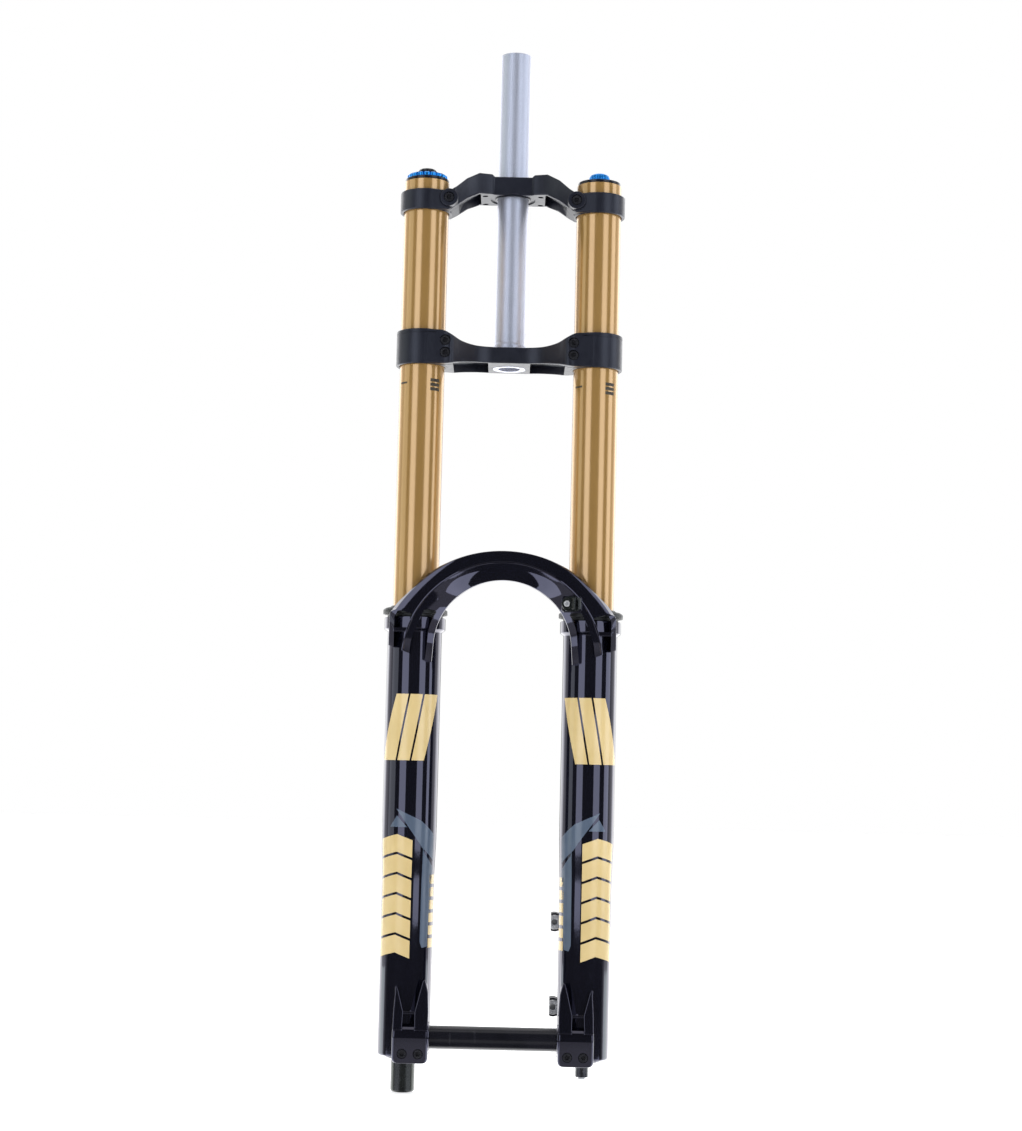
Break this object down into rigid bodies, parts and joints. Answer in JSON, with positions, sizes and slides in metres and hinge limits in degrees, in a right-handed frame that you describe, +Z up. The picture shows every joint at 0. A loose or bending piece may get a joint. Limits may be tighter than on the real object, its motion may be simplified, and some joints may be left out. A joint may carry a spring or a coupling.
{
  "type": "suspension fork",
  "caption": "Long-travel downhill bicycle fork with upper and lower crowns, straight steerer, telescopic legs, arched lower casting and through axle.",
  "frame": {"origin": "on the steerer's axis inside the lower crown, 5 mm below the crown race seat", "axes": "+Z up along the steerer, -Y forward, +X the rider's left, the disc-brake side"},
  "size_m": [0.213, 0.1102, 0.94],
  "materials": {
    "satin_black": "satin black anodised forging",
    "gloss_black": "gloss black paint on a magnesium casting",
    "gold_anodised": "polished gold-bronze anodised tube",
    "steerer_alloy": "matte silver drawn tube",
    "bare_alloy": "machined bare alloy",
    "blue_anodised": "bright blue anodised",
    "black_anodised": "black anodised",
    "bolt_steel": "blackened steel",
    "bright_steel": "bright plated steel",
    "seal_rubber": "matte black rubber",
    "foam": "oiled open foam",
    "bushing_bronze": "coated bronze-backed bushing",
    "bumper_elastomer": "elastomer",
    "black_plastic": "moulded black plastic"
  },
  "bodies": {
    "uppers": {"steerer_tube": "steerer_alloy", "lower_crown": "satin_black", "upper_crown": "satin_black", "damper_stanchion": "gold_anodised", "air_stanchion": "gold_anodised", "lower_crown_bolt_damper_1": "bolt_steel", "lower_crown_bolt_damper_2": "bolt_steel", "lower_crown_bolt_air_1": "bolt_steel", "lower_crown_bolt_air_2": "bolt_steel", "upper_crown_bolt_damper": "bolt_steel", "upper_crown_bolt_air": "bolt_steel", "steerer_clamp_bolt": "bolt_steel", "damper_top_cap": "black_anodised", "damper_cartridge_tube": "bare_alloy", "compression_valve": "bare_alloy", "damper_seal_head": "bare_alloy", "air_top_cap": "black_anodised", "air_valve": "bright_steel", "volume_spacer_1": "bumper_elastomer", "volume_spacer_2": "bumper_elastomer", "air_seal_head": "bare_alloy", "top_out_bumper": "bumper_elastomer"},
    "lowers": {"lower_casting": "gloss_black", "damper_dust_wiper": "seal_rubber", "air_dust_wiper": "seal_rubber", "damper_foam_ring": "foam", "air_foam_ring": "foam", "damper_upper_bushing": "bushing_bronze", "damper_lower_bushing": "bushing_bronze", "air_upper_bushing": "bushing_bronze", "air_lower_bushing": "bushing_bronze", "damper_axle_pinch_bolt_1": "bolt_steel", "damper_axle_pinch_bolt_2": "bolt_steel", "air_axle_pinch_bolt_1": "bolt_steel", "air_axle_pinch_bolt_2": "bolt_steel", "upper_brake_insert": "bright_steel", "lower_brake_insert": "bright_steel", "hose_guide": "black_plastic", "hose_guide_bolt": "bright_steel", "damper_piston": "black_anodised", "damper_shaft": "bright_steel", "damper_foot_nut": "bolt_steel", "air_piston": "black_anodised", "air_shaft": "bright_steel", "bottom_out_bumper": "seal_rubber", "air_foot_nut": "bolt_steel"},
    "axle": {"axle": "black_anodised"},
    "damper_bleed_button": {"damper_bleed_button": "black_anodised"},
    "air_bleed_button": {"air_bleed_button": "black_anodised"},
    "floating_piston": {"floating_piston": "black_plastic", "floating_piston_spring": "bright_steel"},
    "high_speed_compression_knob": {"high_speed_compression_knob": "blue_anodised"},
    "low_speed_compression_knob": {"low_speed_compression_knob": "black_anodised"},
    "high_speed_rebound_knob": {"high_speed_rebound_knob": "blue_anodised"},
    "low_speed_rebound_knob": {"low_speed_rebound_knob": "blue_anodised"},
    "rebound_cover": {"rebound_cover": "black_plastic"},
    "air_valve_cap": {"air_valve_cap": "blue_anodised"}
  },
  "joints": [
    {"name": "travel", "type": "slide", "parent": "uppers", "child": "lowers", "axis": [0, 0, 1], "range_m": [0, 0.203], "stiffness_N_per_m": 1500, "springref_m": -0.02},
    {"name": "floating_piston_slide", "type": "slide", "parent": "uppers", "child": "floating_piston", "axis": [0, 0, 1], "range_m": [0, 0.0255], "deforming": ["floating_piston_spring"]},
    {"name": "high_speed_compression_turn", "type": "hinge", "parent": "uppers", "child": "high_speed_compression_knob", "pos_m": [-0.078, -0.036, 0.157], "axis": [0, 0, 1], "range_deg": [0, 330]},
    {"name": "low_speed_compression_turn", "type": "hinge", "parent": "uppers", "child": "low_speed_compression_knob", "pos_m": [-0.078, -0.036, 0.161], "axis": [0, 0, 1], "range_deg": [0, 330]},
    {"name": "air_valve_cap_lift", "type": "slide", "parent": "uppers", "child": "air_valve_cap", "axis": [0, 0, 1], "range_m": [0, 0.015]},
    {"name": "axle_turn", "type": "hinge", "parent": "lowers", "child": "axle", "pos_m": [0, -0.054, -0.607], "axis": [1, 0, 0], "continuous": true},
    {"name": "damper_bleed_press", "type": "slide", "parent": "lowers", "child": "damper_bleed_button", "axis": [0, -1, 0], "range_m": [0, 0.0012], "stiffness_N_per_m": 900, "springref_m": -0.001},
    {"name": "air_bleed_press", "type": "slide", "parent": "lowers", "child": "air_bleed_button", "axis": [0, -1, 0], "range_m": [0, 0.0012], "stiffness_N_per_m": 900, "springref_m": -0.001},
    {"name": "high_speed_rebound_turn", "type": "hinge", "parent": "lowers", "child": "high_speed_rebound_knob", "pos_m": [-0.078, -0.036, -0.637], "axis": [0, 0, 1], "range_deg": [0, 330]},
    {"name": "low_speed_rebound_turn", "type": "hinge", "parent": "lowers", "child": "low_speed_rebound_knob", "pos_m": [-0.078, -0.036, -0.644], "axis": [0, 0, 1], "range_deg": [0, 330]},
    {"name": "rebound_cover_lift", "type": "slide", "parent": "lowers", "child": "rebound_cover", "axis": [0, 0, -1], "range_m": [0, 0.035]}
  ],
  "couplings": [
    {"joint": "floating_piston_slide", "follows": "travel", "ratio": 0.123}
  ]
}
